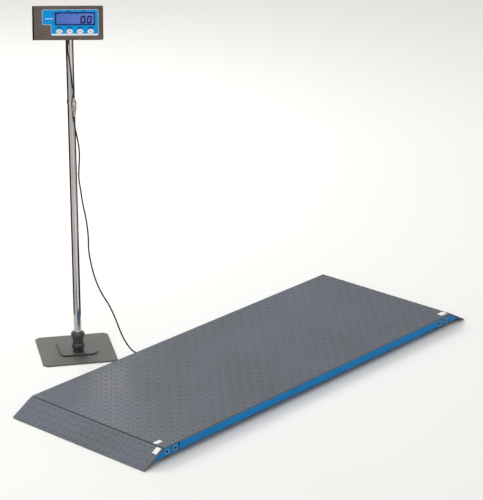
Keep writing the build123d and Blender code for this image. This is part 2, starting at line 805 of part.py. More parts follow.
def make_key(x, y):
    face = overlay_thickness + key_proud
    flange_back = -head_wall - side_gap - key_flange_thickness
    key = oval(x, y, key_size[0], key_size[1], flange_back, face)
    key = fillet(key.edges().group_by(Axis.Z)[-1], 0.6)
    key += oval(x, y, key_size[0] + 2 * key_flange_extra, key_size[1] + 2 * key_flange_extra,
                flange_back, flange_back + key_flange_thickness)
    return key + head_disc(x, y, plunger_end, flange_back, plunger_diameter / 2)


def make_head_gland():
    """Lead gland through the indicator's bottom wall, with its nut inside."""
    bottom = -head_height / 2
    place = (gland_side, bottom, head_gland_depth)
    down = (0, -1, 0)
    inside = (gland_side, bottom + head_wall, head_gland_depth)
    gland = hexagon_bar(place, down, head_gland_diameter, 6)
    gland += hexagon_bar((gland_side, bottom + head_wall + 5, head_gland_depth), down,
                         head_gland_diameter, 5)
    gland += rod(inside, down, head_gland_diameter / 2 - 1.5, head_wall)
    dome = rod((gland_side, bottom - 6, head_gland_depth), down,
               head_gland_diameter / 2 - 1, head_gland_length - 6)
    return gland + fillet(dome.edges().sort_by(Axis.Y)[0], 2.5)


def ear_shape(x0, x1, front):
    """A plate across the tilt axis: a round end at the pivot, joined to a face at front."""
    plate = Pos(x0, 0, pivot_back) * Rot(0, 90, 0) * Cylinder(
        ear_radius, x1 - x0, align=(Align.CENTER, Align.CENTER, Align.MIN))
    return plate + head_block(x0, x1, -ear_radius, ear_radius, pivot_back, front)


def make_head_bracket():
    w, h, t = bracket_plate
    plate = head_block(-w / 2, w / 2, -h / 2, h / 2, cover_back - t, cover_back)
    plate = fillet(plate.edges().filter_by(Axis.Z), 5)
    for way in sides:
        near = pivot_side + way * (lug_width / 2 + side_gap)
        far = near + way * ear_thickness
        plate += ear_shape(*sorted((near, far)), cover_back - t)
    bore = Pos(pivot_side, 0, pivot_back) * Rot(0, 90, 0) * Cylinder(tilt_bolt_diameter / 2, 60)
    return plate - bore


def make_tilt_bolt():
    outer = lug_width / 2 + side_gap + ear_thickness
    start = (pivot_side - outer, 0, pivot_back)
    end_reach = outer + side_gap + knob_length - 3
    bolt = hexagon_bar((pivot_side - outer - 5, 0, pivot_back), (1, 0, 0), 13, 5)
    return bolt + rod(start, (1, 0, 0), tilt_bolt_diameter / 2, outer + end_reach)


def make_tilt_knob():
    outer = lug_width / 2 + side_gap + ear_thickness
    start_x = pivot_side + outer + side_gap
    knob = rod((start_x, 0, pivot_back), (1, 0, 0), knob_diameter / 2 - 3, knob_length)
    for i in range(knob_lobes):
        angle = 2 * pi * i / knob_lobes
        reach = knob_diameter / 2 - 4
        lobe = (start_x, reach * cos(angle), pivot_back + reach * sin(angle))
        knob += rod(lobe, (1, 0, 0), 4, knob_length)
    bore = tilt_bolt_diameter / 2 + running_clearance
    return knob - rod((start_x, 0, pivot_back), (1, 0, 0), bore, knob_length - 2.5)


def make_column_bracket():
    """Cap on the column's top with the lug that the indicator tilts on."""
    low = column_height - cap_cover
    top = column_height + cap_top_thickness
    cap = rod((0, 0, low), (0, 0, 1), cap_diameter / 2, top - low)
    cap = fillet(cap.edges().group_by(Axis.Z)[-1], 2)
    cap -= rod((0, 0, low), (0, 0, 1), column_diameter / 2, cap_cover)
    pivot = (head_plane * Pos(pivot_side, 0, pivot_back)).position
    out = (pivot - Vector(stand_x, stand_y, 0)).dot(forward)
    # local frame of the cap: X across, Y away from the reader
    lug = Pos(-lug_width / 2, -out, pivot.Z) * Rot(0, 90, 0) * Cylinder(
        ear_radius, lug_width, align=(Align.CENTER, Align.CENTER, Align.MIN))
    neck_low = top - 1
    lug += Pos(0, -out + 1, (neck_low + pivot.Z) / 2) * Box(
        lug_width, 2 * ear_radius - 2, pivot.Z - neck_low)
    bracket = cap + lug
    bore = tilt_bolt_diameter / 2 + running_clearance
    bracket -= Pos(0, -out, pivot.Z) * Rot(0, 90, 0) * Cylinder(bore, lug_width + 2)
    return Pos(stand_x, stand_y, 0) * Rot(0, 0, head_turn) * bracket


# ---------------------------------------------------------------- write every node
make_deck()
save("ramp_left", make_ramp(-1))
save("ramp_right", make_ramp(1))
save("rail_front", make_rail(-1))
save("rail_rear", make_rail(1))
save("end_gussets", [make_gusset(end, side) for end, side in corners])
save("gusset_bushings", make_bushings())
save("cross_bars", make_cross_bars())
save("fold_bars", make_fold_bars())
for number, (end, side) in enumerate(corners, start=1):
    save(f"load_cell_{number}", make_cell(end, side))
    save(f"foot_{number}", make_foot(end, side))
    save(f"foot_pad_{number}", make_foot_pad(end, side))
    save(f"cell_lead_{number}", make_cell_lead(end, side))
save("cell_spacers", [make_spacer(end, side) for end, side in corners])
save("cell_bolts", make_cell_bolts())
save("lock_nuts", make_lock_nuts())
save("junction_box", make_junction_box())
save("junction_lid", make_junction_lid())
save("junction_glands", make_junction_glands())
save("rail_gland", make_rail_gland())
save("inner_cable", make_inner_cable())

save("base_plate", make_base_plate())
save("column_socket", make_socket())
save("cable_hook", make_hook())
save("column", make_column())
save("column_bracket", make_column_bracket())
save("connector_clip", make_clip())
save("connector_plug", make_plug())
save("connector_receptacle", make_receptacle())
save("platform_cable", tube_along(platform_cable_route, cable_diameter, "platform_cable"))
lead_points = [column_point(*point) for point in indicator_lead_route]
save("indicator_lead", tube_along([tuple(p) for p in lead_points], indicator_lead_diameter,
                                  "indicator_lead"))

head_nodes = {
    "housing": make_housing(), "rear_cover": make_rear_cover(), "cover_gasket": make_gasket(),
    "keypad_overlay": make_overlay(), "lcd_window": make_window(), "lcd_module": make_display(),
    "main_board": make_board(), "battery_pack": make_battery(), "head_gland": make_head_gland(),
    "head_bracket": make_head_bracket(), "tilt_bolt": make_tilt_bolt(),
    "tilt_knob": make_tilt_knob()}
for name, shape in head_nodes.items():
    save(name, head_plane * shape)
save("cover_screws", [head_plane * screw for screw in make_cover_screws()])
for number, (x, y) in enumerate(key_centres(), start=1):
    save(f"key_{number}", head_plane * make_key(x, y))

# ---------------------------------------------------------------- places used elsewhere
pivot_point = (head_plane * Pos(pivot_side, 0, pivot_back)).position
gland_exit = (head_plane * Pos(gland_side, -head_height / 2 - head_gland_length,
                               head_gland_depth)).position
print("platform_y", round(platform_y, 2), "stand", round(stand_x, 2), round(stand_y, 2))
print("pivot", pivot_point, "across", across, "face normal", face_normal)
print("gland exit", gland_exit, "lead start", lead_points[0], "connector", connector_xy)
for number, (x, y) in enumerate(key_centres(), start=1):
    print("key", number, (head_plane * Pos(x, y, 0)).position)
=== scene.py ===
import bpy
import bmesh
import json
from math import cos, hypot, pi, radians, sin
from mathutils import Matrix, Vector


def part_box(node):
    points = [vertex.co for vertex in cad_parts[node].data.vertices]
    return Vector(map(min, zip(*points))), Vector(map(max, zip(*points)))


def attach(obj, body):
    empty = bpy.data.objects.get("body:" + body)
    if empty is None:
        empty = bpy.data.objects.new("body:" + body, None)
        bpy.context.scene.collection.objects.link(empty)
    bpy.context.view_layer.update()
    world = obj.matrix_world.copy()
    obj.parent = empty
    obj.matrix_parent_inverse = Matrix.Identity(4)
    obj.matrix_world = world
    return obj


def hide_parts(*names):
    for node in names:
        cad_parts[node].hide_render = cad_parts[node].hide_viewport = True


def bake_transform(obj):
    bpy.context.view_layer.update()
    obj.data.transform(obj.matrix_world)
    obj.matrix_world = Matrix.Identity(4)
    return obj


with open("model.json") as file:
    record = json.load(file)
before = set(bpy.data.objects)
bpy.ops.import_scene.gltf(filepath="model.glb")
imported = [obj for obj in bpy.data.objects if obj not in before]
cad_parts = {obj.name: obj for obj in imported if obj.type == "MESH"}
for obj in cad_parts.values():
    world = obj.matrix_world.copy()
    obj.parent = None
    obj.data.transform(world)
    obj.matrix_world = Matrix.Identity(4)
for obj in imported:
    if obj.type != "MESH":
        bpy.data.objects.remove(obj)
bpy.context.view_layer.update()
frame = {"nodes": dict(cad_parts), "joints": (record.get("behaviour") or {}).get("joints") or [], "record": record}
nodes = frame["nodes"]
MM = 0.001

# ---------------------------------------------------------------- places from the frame
joints = {joint["name"]: joint for joint in frame["joints"]}
deck_low, deck_high = (Vector(corner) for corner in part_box("deck_plate"))
deck_middle = (deck_low + deck_high) / 2
platform_y = deck_middle.y
deck_top = deck_high.z

tilt_axis = Vector(joints["head_tilt"]["axis"])
tilt_pivot = Vector(joints["head_tilt"]["pos_m"])
face_out = -Vector(joints["key_1_press"]["axis"])
face_up = face_out.cross(tilt_axis)
pivot_to_face = 82.5 * MM
face_centre = tilt_pivot + face_out * pivot_to_face
head_matrix = Matrix.Translation(face_centre) @ Matrix(
    (tilt_axis, face_up, face_out)).transposed().to_4x4()
forward = Vector((face_out.x, face_out.y, 0)).normalized()
column_low, column_high = (Vector(corner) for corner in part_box("column"))
column_x = (column_low.x + column_high.x) / 2
column_y = (column_low.y + column_high.y) / 2

# ---------------------------------------------------------------- sizes of the indicator's face
window_place = (31.3, 18.0)
window_size = (162.6, 49.3)
overlay_corners = [(-106.1, 56.8), (130.2, 56.8), (130.2, -51.8),
                   (-69.4, -51.8), (-69.4, -7.1), (-106.1, -7.1)]
overlay_radius = 7.0
overlay_top = 0.8
key_row = -34.8
key_first = -34.4
key_pitch = 43.7
key_places = [key_first + key_pitch * i for i in range(4)]
key_face = 1.6
# Painted shade covers the face to the left of this line, in millimetres across the face.
shade_edge_line = -140.2


# ---------------------------------------------------------------- material helpers
class Look:
    """A node material being built around one Principled shader."""

    def __init__(self, name):
        self.material = bpy.data.materials.new(name)
        self.material.use_nodes = True
        self.tree = self.material.node_tree
        self.shader = self.tree.nodes["Principled BSDF"]
        self.place = self.tree.nodes.new("ShaderNodeTexCoord").outputs["Object"]

    def add(self, kind, **settings):
        node = self.tree.nodes.new(kind)
        for key, value in settings.items():
            setattr(node, key, value)
        return node

    def link(self, start, end):
        self.tree.links.new(start, end)

    def mapped(self, scale, turn=(0, 0, 0), origin=(0, 0, 0)):
        """Coordinates in a turned frame, each divided by its grain length in millimetres."""
        node = self.add("ShaderNodeMapping", vector_type="TEXTURE")
        node.inputs["Scale"].default_value = [length * MM for length in scale]
        node.inputs["Rotation"].default_value = turn
        node.inputs["Location"].default_value = origin
        self.link(self.place, node.inputs["Vector"])
        return node.outputs["Vector"]

    def noise(self, vector, detail=4.0, rough=0.55, scale=1.0):
        node = self.add("ShaderNodeTexNoise")
        node.inputs["Scale"].default_value = scale
        node.inputs["Detail"].default_value = detail
        node.inputs["Roughness"].default_value = rough
        self.link(vector, node.inputs["Vector"])
        return node.outputs["Fac"]

    def stretch(self, value, low, high, to_low, to_high):
        node = self.add("ShaderNodeMapRange")
        node.inputs["From Min"].default_value = low
        node.inputs["From Max"].default_value = high
        node.inputs["To Min"].default_value = to_low
        node.inputs["To Max"].default_value = to_high
        self.link(value, node.inputs["Value"])
        return node.outputs["Result"]

    def blend(self, factor, first, second):
        """Mix of two colours. Each is a plain colour or a socket."""
        node = self.add("ShaderNodeMix", data_type="RGBA")
        for value, socket in ((first, node.inputs[6]), (second, node.inputs[7])):
            if isinstance(value, tuple):
                socket.default_value = (*value, 1)
            else:
                self.link(value, socket)
        self.link(factor, node.inputs["Factor"])
        return node.outputs[2]

    def colour(self, socket):
        self.link(socket, self.shader.inputs["Base Color"])

    def roughness(self, socket):
        self.link(socket, self.shader.inputs["Roughness"])

    def bump(self, height, strength, distance):
        node = self.add("ShaderNodeBump")
        node.inputs["Strength"].default_value = strength
        node.inputs["Distance"].default_value = distance * MM
        self.link(height, node.inputs["Height"])
        self.link(node.outputs["Normal"], self.shader.inputs["Normal"])

    def edge_mask(self, radius):
        """Mask that is high near the shape's convex and concave edges."""
        bevel = self.add("ShaderNodeBevel", samples=6)
        bevel.inputs["Radius"].default_value = radius * MM
        plain = self.add("ShaderNodeNewGeometry")
        match = self.add("ShaderNodeVectorMath", operation="DOT_PRODUCT")
        self.link(bevel.outputs["Normal"], match.inputs[0])
        self.link(plain.outputs["Normal"], match.inputs[1])
        return self.stretch(match.outputs["Value"], 0.999, 0.93, 0.0, 1.0)

    def set(self, **values):
        names = {"metallic": "Metallic", "painted_shade_colour": "Coat Weight", "coat_rough": "Coat Roughness",
                 "specular": "Specular IOR Level", "alpha": "Alpha", "sheen": "Sheen Weight",
                 "anisotropic": "Anisotropic", "rough": "Roughness"}
        for key, value in values.items():
            self.shader.inputs[names[key]].default_value = value
        return self


def surface(name, light, dark, blotch, grain, rough, bump=0.1, metallic=0.0, edge_colour=None,
            edge_radius=1.5, **extra):
    """A finish with large soft colour variation, fine grain in bump and roughness, and, if given, an edge colour
    along its edges and creases: lighter wear on most finishes, darker on the base paint.
    """
    look = Look(name)
    patches = look.noise(look.mapped((blotch,) * 3))
    fine = look.noise(look.mapped((grain,) * 3), detail=3)
    tone = look.blend(look.stretch(patches, 0.3, 0.7, 0, 1), dark, light)
    speck = look.blend(look.stretch(fine, 0.35, 0.75, 0, 0.35), tone, dark)
    if edge_colour:
        mask = look.edge_mask(edge_radius)
        ragged = look.add("ShaderNodeMath", operation="MULTIPLY")
        look.link(mask, ragged.inputs[0])
        look.link(look.stretch(fine, 0.35, 0.6, 0.1, 1.0), ragged.inputs[1])
        speck = look.blend(ragged.outputs["Value"], speck, edge_colour)
    look.colour(speck)
    look.roughness(look.stretch(fine, 0.25, 0.75, rough[0], rough[1]))
    look.bump(fine, bump, grain)
    look.set(metallic=metallic, **extra)
    return look.material


def brushed(name, light, dark, along, across, turn, rough, edge_colour=None, **extra):
    """Metal with a long straight grain."""
    look = Look(name)
    grain = look.noise(look.mapped((along, across, across), turn), detail=5, rough=0.65)
    broad = look.noise(look.mapped((140, 60, 60), turn), detail=2)
    tone = look.blend(look.stretch(grain, 0.3, 0.7, 0, 1), dark, light)
    tone = look.blend(look.stretch(broad, 0.35, 0.7, 0, 0.4), tone, dark)
    if edge_colour:
        tone = look.blend(look.edge_mask(1.2), tone, edge_colour)
    look.colour(tone)
    look.roughness(look.stretch(grain, 0.25, 0.75, rough[0], rough[1]))
    look.bump(grain, 0.12, 0.15)
    look.set(metallic=1.0, **extra)
    return look.material


def make_tread_paint():
    """Grey enamel over tread plate: scuffed in places, and darker along the edges of the plate and its raised
    marks, as painted shade.
    """
    look = Look("tread_paint")
    patches = look.noise(look.mapped((420, 300, 300)), detail=5)
    scuffs = look.noise(look.mapped((90, 12, 12), (0, 0, radians(24))), detail=6, rough=0.7)
    fine = look.noise(look.mapped((1.6, 1.6, 1.6)), detail=2)
    tone = look.blend(look.stretch(patches, 0.32, 0.68, 0, 1),
                      (0.078, 0.090, 0.110), (0.100, 0.117, 0.154))
    tone = look.blend(look.stretch(scuffs, 0.56, 0.78, 0, 0.3), tone, (0.19, 0.20, 0.22))
    tone = look.blend(look.stretch(fine, 0.3, 0.75, 0, 0.3), tone, (0.07, 0.078, 0.09))
    # Painted shade: darker along the edges and creases of the plate and the sides of its raised marks.
    tone = look.blend(look.edge_mask(1.6), tone, (0.055, 0.058, 0.068))
    look.colour(tone)
    look.roughness(look.stretch(patches, 0.3, 0.7, 0.36, 0.5))
    look.bump(fine, 0.15, 0.4)
    look.set(specular=0.4)
    return look.material


def make_housing_steel():
    """Brushed steel face. The walls behind it and a narrow strip along the face's left edge are painted
    near-black, as painted shade.
    """
    look = Look("housing_steel")
    turn = head_matrix.to_euler()
    grain = look.noise(look.mapped((40, 1.3, 1.3), turn), detail=6, rough=0.7)
    broad = look.noise(look.mapped((110, 45, 45), turn), detail=2)
    fine = look.noise(look.mapped((1.2, 1.2, 1.2)), detail=3)
    steel = look.blend(look.stretch(grain, 0.3, 0.7, 0, 1), (0.062, 0.050, 0.044),
                       (0.225, 0.194, 0.176))
    steel = look.blend(look.stretch(broad, 0.35, 0.7, 0, 0.5), steel, (0.088, 0.068, 0.059))
    # Painted shade: a near-black, matt, barely metallic colour on the walls behind the face and on a strip along
    # the face's left edge.
    painted_shade_colour = look.blend(look.stretch(fine, 0.3, 0.7, 0, 1), (0.010, 0.008, 0.008),
                      (0.020, 0.016, 0.015))
    split = look.add("ShaderNodeSeparateXYZ")
    look.link(look.mapped((1, 1, 1), turn, face_centre), split.inputs["Vector"])
    behind_face = look.stretch(split.outputs["Z"], -0.9, -0.5, 1, 0)
    left_edge_shade = look.stretch(split.outputs["X"], shade_edge_line, shade_edge_line + 0.3, 1, 0)
    painted_shade_mask = look.add("ShaderNodeMath", operation="MAXIMUM")
    look.link(behind_face, painted_shade_mask.inputs[0])
    look.link(left_edge_shade, painted_shade_mask.inputs[1])
    look.colour(look.blend(painted_shade_mask.outputs["Value"], steel, painted_shade_colour))
    matt = look.add("ShaderNodeMath", operation="MAXIMUM")
    look.link(look.stretch(grain, 0.25, 0.75, 0.34, 0.5), matt.inputs[0])
    look.link(look.stretch(painted_shade_mask.outputs["Value"], 0, 1, 0, 0.8), matt.inputs[1])
    look.roughness(matt.outputs["Value"])
    look.set(specular=0.1)
    look.bump(grain, 0.12, 0.15)
    plain = look.stretch(painted_shade_mask.outputs["Value"], 0, 1, 0.9, 0.1)
    look.link(plain, look.shader.inputs["Metallic"])
    return look.material


def make_display():
    """Backlit display, a little paler towards its right side."""
    look = Look("display")
    place = look.mapped((1000, 1000, 1000), head_matrix.to_euler(), face_centre)
    split = look.add("ShaderNodeSeparateXYZ")
    look.link(place, split.inputs["Vector"])
    half = window_size[0] / 2 * MM
    middle = window_place[0] * MM
    across = look.stretch(split.outputs["X"], middle - half, middle + half, 0, 1)
    cells = look.noise(look.mapped((1.1, 1.1, 1.1)), detail=1)
    tone = look.blend(across, (0.060, 0.130, 0.43), (0.105, 0.180, 0.52))
    tone = look.blend(look.stretch(cells, 0.3, 0.7, 0, 0.18), tone, (0.055, 0.09, 0.36))
    look.colour(tone)
    look.set(specular=0.1)
    look.link(tone, look.shader.inputs["Emission Color"])
    look.shader.inputs["Emission Strength"].default_value = 0.3
    look.roughness(look.stretch(cells, 0.3, 0.7, 0.35, 0.5))
    return look.material


def make_pane():
    """Clear acrylic with a little dust."""
    look = Look("clear_pane")
    dust = look.noise(look.mapped((14, 14, 14)), detail=5)
    look.colour(look.blend(dust, (0.30, 0.33, 0.45), (0.42, 0.45, 0.55)))
    look.roughness(look.stretch(dust, 0.3, 0.7, 0.25, 0.4))
    look.set(alpha=0.015, specular=0.2)
    return look.material


def make_knurl_metal(name, light, dark):
    """Plated metal with a fine upright grain."""
    look = Look(name)
    fine = look.noise(look.mapped((0.5, 0.5, 2.5)), detail=3)
    look.colour(look.blend(look.stretch(fine, 0.3, 0.7, 0, 1), dark, light))
    look.roughness(look.stretch(fine, 0.3, 0.7, 0.2, 0.36))
    look.bump(fine, 0.1, 0.15)
    look.set(metallic=1.0)
    return look.material


upright = (0, radians(90), 0)
tread_paint = make_tread_paint()
blue_paint = surface("blue_enamel", (0.0, 0.215, 0.56), (0.0, 0.18, 0.48), 220, 2.2,
                     (0.3, 0.42), bump=0.06, edge_colour=(0.01, 0.26, 0.58), specular=0.12)
machined_steel = brushed("machined_steel", (0.50, 0.49, 0.47), (0.28, 0.27, 0.26), 20, 0.6,
                         (0, 0, 0), (0.2, 0.4))
cell_steel = brushed("cell_steel", (0.60, 0.60, 0.57), (0.42, 0.42, 0.40), 30, 0.5,
                     (0, 0, 0), (0.22, 0.4), edge_colour=(0.72, 0.72, 0.70))
zinc_steel = surface("zinc_plate", (0.62, 0.64, 0.66), (0.40, 0.42, 0.46), 16, 1.2,
                     (0.22, 0.4), metallic=1.0, edge_colour=(0.75, 0.75, 0.74))
foot_rubber = surface("foot_rubber", (0.022, 0.022, 0.022), (0.012, 0.012, 0.012), 24, 0.9,
                      (0.6, 0.8), bump=0.3, edge_colour=(0.06, 0.06, 0.058))
lead_sheath = surface("lead_sheath", (0.09, 0.09, 0.09), (0.06, 0.06, 0.06), 40, 0.7,
                      (0.4, 0.55), bump=0.12)
cable_sheath = surface("cable_sheath", (0.010, 0.010, 0.011), (0.005, 0.005, 0.006), 60, 0.6,
                       (0.45, 0.6), bump=0.12, specular=0.15)
box_plastic = surface("box_plastic", (0.36, 0.37, 0.38), (0.28, 0.29, 0.30), 50, 0.8,
                      (0.45, 0.6), bump=0.25, edge_colour=(0.48, 0.49, 0.5))
black_nylon = surface("black_nylon", (0.022, 0.022, 0.023), (0.012, 0.012, 0.012), 20, 0.5,
                      (0.38, 0.55), bump=0.15, edge_colour=(0.07, 0.07, 0.07), edge_radius=0.7)
# Darker along its edges and creases.
base_paint = surface("base_paint", (0.100, 0.102, 0.094), (0.076, 0.078, 0.072), 130, 1.4,
                     (0.42, 0.58), bump=0.2, edge_colour=(0.045, 0.05, 0.045), edge_radius=2.0)
black_iron = surface("black_iron", (0.052, 0.054, 0.053), (0.030, 0.032, 0.031), 30, 1.1,
                     (0.28, 0.42), bump=0.25, edge_colour=(0.075, 0.075, 0.072), edge_radius=0.9)
column_steel = brushed("column_steel", (0.52, 0.49, 0.48), (0.38, 0.35, 0.345), 90, 0.4,
                       upright, (0.10, 0.18))
bracket_black = surface("bracket_black", (0.035, 0.034, 0.033), (0.02, 0.02, 0.02), 24, 1.0,
                        (0.35, 0.5), bump=0.2, edge_colour=(0.11, 0.11, 0.11), edge_radius=0.8)
nickel = make_knurl_metal("nickel", (0.45, 0.40, 0.37), (0.27, 0.235, 0.215))
housing_steel = make_housing_steel()
gasket_rubber = surface("gasket_rubber", (0.03, 0.03, 0.03), (0.018, 0.018, 0.018), 12, 0.5,
                        (0.55, 0.7))
overlay_blue = surface("overlay_blue", (0.0, 0.31, 0.76), (0.0, 0.26, 0.68), 40, 0.6,
                       (0.28, 0.4), bump=0.05, specular=0.15)
ink_white = surface("ink_white", (0.86, 0.88, 0.90), (0.76, 0.79, 0.83), 30, 0.6, (0.3, 0.42),
                    bump=0.04)
ink_pale = surface("ink_pale", (0.58, 0.66, 0.72), (0.48, 0.57, 0.66), 20, 0.6, (0.3, 0.42),
                   bump=0.04)
ink_navy = surface("ink_navy", (0.006, 0.018, 0.12), (0.004, 0.012, 0.08), 16, 0.6, (0.3, 0.45),
                   bump=0.04, specular=0.15)
key_plastic = surface("key_plastic", (0.84, 0.87, 0.90), (0.74, 0.78, 0.83), 9, 0.5,
                      (0.22, 0.34), bump=0.05, edge_colour=(0.94, 0.95, 0.95), edge_radius=0.6)
digit_ink = surface("digit_ink", (0.006, 0.008, 0.13), (0.004, 0.005, 0.09), 10, 0.6, (0.4, 0.5),
                    bump=0.04, specular=0.1)
key_ink = surface("key_ink", (0.10, 0.12, 0.16), (0.05, 0.06, 0.09), 6, 0.4, (0.4, 0.5))
board_green = surface("board_green", (0.02, 0.15, 0.06), (0.012, 0.10, 0.04), 8, 0.4, (0.3, 0.5))
battery_wrap = surface("battery_wrap", (0.08, 0.08, 0.1), (0.05, 0.05, 0.065), 20, 0.5, (0.3, 0.45))
paper = surface("label_paper", (0.88, 0.86, 0.86), (0.80, 0.76, 0.77), 12, 0.7, (0.5, 0.65),
                bump=0.1)
display = make_display()
pane_clear = make_pane()

finish_of_slot = {
    "tread_steel": tread_paint, "blue_paint": blue_paint, "bare_steel": machined_steel,
    "cell_steel": cell_steel, "zinc_steel": zinc_steel, "foot_rubber": foot_rubber,
    "lead_sheath": lead_sheath, "cable_sheath": cable_sheath, "box_plastic": box_plastic,
    "black_nylon": black_nylon, "base_paint": base_paint, "black_iron": black_iron,
    "polished_steel": column_steel, "bracket_steel": bracket_black, "nickel": nickel,
    "housing_steel": housing_steel, "gasket_rubber": gasket_rubber,
    "overlay_blue": overlay_blue, "window_clear": pane_clear, "display": display,
    "board_green": board_green, "battery_case": battery_wrap, "key_white": key_plastic}
for part in frame["record"]["subparts"]:
    nodes[part["node"]].data.materials.clear()
    nodes[part["node"]].data.materials.append(finish_of_slot[part["material_slot"]])


# ---------------------------------------------------------------- mesh helpers
def add_object(name, data):
    """A new object in the scene."""
    made = bpy.data.objects.new(name, data)
    bpy.context.scene.collection.objects.link(made)
    return made


def piece_from(name, build, material, body, smooth=None):
    """A mesh piece made by build(bm), which rides on a body. smooth is an angle in degrees."""
    bm = bmesh.new()
    build(bm)
    bmesh.ops.recalc_face_normals(bm, faces=bm.faces)
    mesh = bpy.data.meshes.new(name)
    bm.to_mesh(mesh)
    bm.free()
    piece = add_object(name, mesh)
    mesh.materials.append(material)
    if smooth is not None:
        mesh.shade_smooth()
        mesh.set_sharp_from_angle(angle=radians(smooth))
    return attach(piece, body)


def add_ring_stack(bm, rings, matrix, close_first=True, close_last=True):
    """Quads between rings of equal count, given as lists of points, with flat caps."""
    layers = [[bm.verts.new(matrix @ Vector(point)) for point in ring] for ring in rings]
    count = len(rings[0])
    for low, high in zip(layers, layers[1:]):
        for i in range(count):
            j = (i + 1) % count
            bm.faces.new((low[i], low[j], high[j], high[i]))
    if close_first:
        bm.faces.new(layers[0])
    if close_last:
        bm.faces.new(layers[-1])


def circle(radius, count=24):
    return [(radius * cos(2 * pi * i / count), radius * sin(2 * pi * i / count))
            for i in range(count)]


def at_height(outline, height):
    return [(x, y, height) for x, y in outline]


def rounded(corners, radius, steps=6):
    """An outline with each corner of a right-angled shape rounded, in millimetres."""
    points = []
    count = len(corners)
    for i, corner in enumerate(corners):
        here = Vector(corner)
        back = (Vector(corners[i - 1]) - here).normalized() * radius
        ahead = (Vector(corners[(i + 1) % count]) - here).normalized() * radius
        centre = here + back + ahead
        for k in range(steps + 1):
            angle = pi / 2 * k / steps
            points.append(tuple(centre - ahead * cos(angle) - back * sin(angle)))
    return points


def inset(corners, distance):
    """The same right-angled outline, moved inwards. Corners run clockwise."""
    moved = []
    count = len(corners)
    for i, corner in enumerate(corners):
        here = Vector(corner)
        before = (here - Vector(corners[i - 1])).normalized()
        after = (Vector(corners[(i + 1) % count]) - here).normalized()
        inward = Vector((before.y, -before.x)) + Vector((after.y, -after.x))
        moved.append(tuple(here + inward * distance))
    return moved


def add_prism(bm, outline, low, high, matrix):
    add_ring_stack(bm, [at_height(outline, low), at_height(outline, high)], matrix)


def box_outline(x, y, width, height):
    w, h = width / 2, height / 2
    return [(x - w, y + h), (x + w, y + h), (x + w, y - h), (x - w, y - h)]


def add_band(bm, outer, inner, low, high, matrix):
    """A raised band between two outlines of equal count."""
    layers = []
    for outline, z in ((outer, low), (outer, high), (inner, high), (inner, low)):
        layers.append([bm.verts.new(matrix @ Vector((x, y, z))) for x, y in outline])
    count = len(outer)
    for k in range(4):
        first, second = layers[k], layers[(k + 1) % 4]
        for i in range(count):
            j = (i + 1) % count
            bm.faces.new((first[i], first[j], second[j], second[i]))


to_head = head_matrix @ Matrix.Scale(MM, 4)

# ---------------------------------------------------------------- camera
# The lens and place follow from the perspective of the platform's edges.
camera_from_platform = Vector((-6.4652, -5.7021, 3.7257))
camera_azimuth = radians(-48.315)
camera_elevation = radians(20.2375)
camera_lens = 153.11
camera_reach = 60
back = Vector((sin(camera_azimuth) * cos(camera_elevation),
               -cos(camera_azimuth) * cos(camera_elevation), sin(camera_elevation)))
right = Vector((cos(camera_azimuth), sin(camera_azimuth), 0))
camera_data = bpy.data.cameras.new("camera")
camera_data.lens = camera_lens
camera_data.clip_end = camera_reach
camera = add_object("camera", camera_data)
camera.matrix_world = Matrix.Translation(
    camera_from_platform + Vector((0, platform_y, 0))) @ Matrix(
    (right, back.cross(right), back)).transposed().to_4x4()
bpy.context.scene.camera = camera

# ---------------------------------------------------------------- free cords
# The routes' points, in millimetres, as in the part's own source.
cable_diameter = 6.5
cable_route = [
    (-402.03, 383.6, 1107.0), (-402.03, 383.6, 1066.0), (-397.3, 372.6, 1012.0),
    (-393.8, 364.3, 950.0), (-395.4, 368.0, 893.0), (-397.1, 372.1, 830.0),
    (-393.8, 364.3, 775.0), (-391.1, 357.8, 716.0), (-385.0, 343.6, 645.0),
    (-381.9, 336.2, 568.0), (-382.5, 337.6, 497.0), (-377.0, 324.7, 420.0),
    (-369.5, 307.2, 356.0), (-359.0, 282.4, 300.0), (-346.5, 253.0, 256.0),
    (-337.1, 230.9, 205.0), (-329.7, 213.4, 155.0), (-321.5, 197.3, 110.0), (-313, 181.3, 79.0),
    (-305, 164.4, 54.5), (-300, 143.4, 44.0), (-300, 124.26, 44.0)]
lead_diameter = 6.0
lead_route = [
    (-4.0, 77.18, 1436.63), (-4.0, 80.48, 1421.74), (-3.0, 78.3, 1402.0), (-1.0, 69.0, 1383.5),
    (0.8, 56.5, 1364.0), (2.2, 45.0, 1341.0), (4.0, 36.5, 1314.0), (6.0, 30.5, 1281.0),
    (8.6, 27.2, 1250.0), (11.3, 25.9, 1229.0), (12.7, 25.5, 1209.5), (12.7, 25.5, 1192.0)]


def spline_curve(name, points, diameter):
    """A cord's curve through control points in metres."""
    data = bpy.data.curves.new(name, "CURVE")
    data.dimensions = "3D"
    spline = data.splines.new("NURBS")
    spline.points.add(len(points) - 1)
    for knot, point in zip(spline.points, points):
        knot.co = (*point, 1)
    spline.order_u = 3
    spline.use_endpoint_u = True
    spline.resolution_u = 12
    data.bevel_depth = diameter / 2
    data.bevel_resolution = 5
    data.use_fill_caps = True
    return add_object(name, data)


def followed(points):
    """Points along the smooth line of a route, read from its own curve."""
    curve = spline_curve("route", points, 0)
    mesh = bpy.data.meshes.new_from_object(curve)
    line = [vertex.co.copy() for vertex in mesh.vertices]
    bpy.data.objects.remove(curve)
    bpy.data.meshes.remove(mesh)
    return line


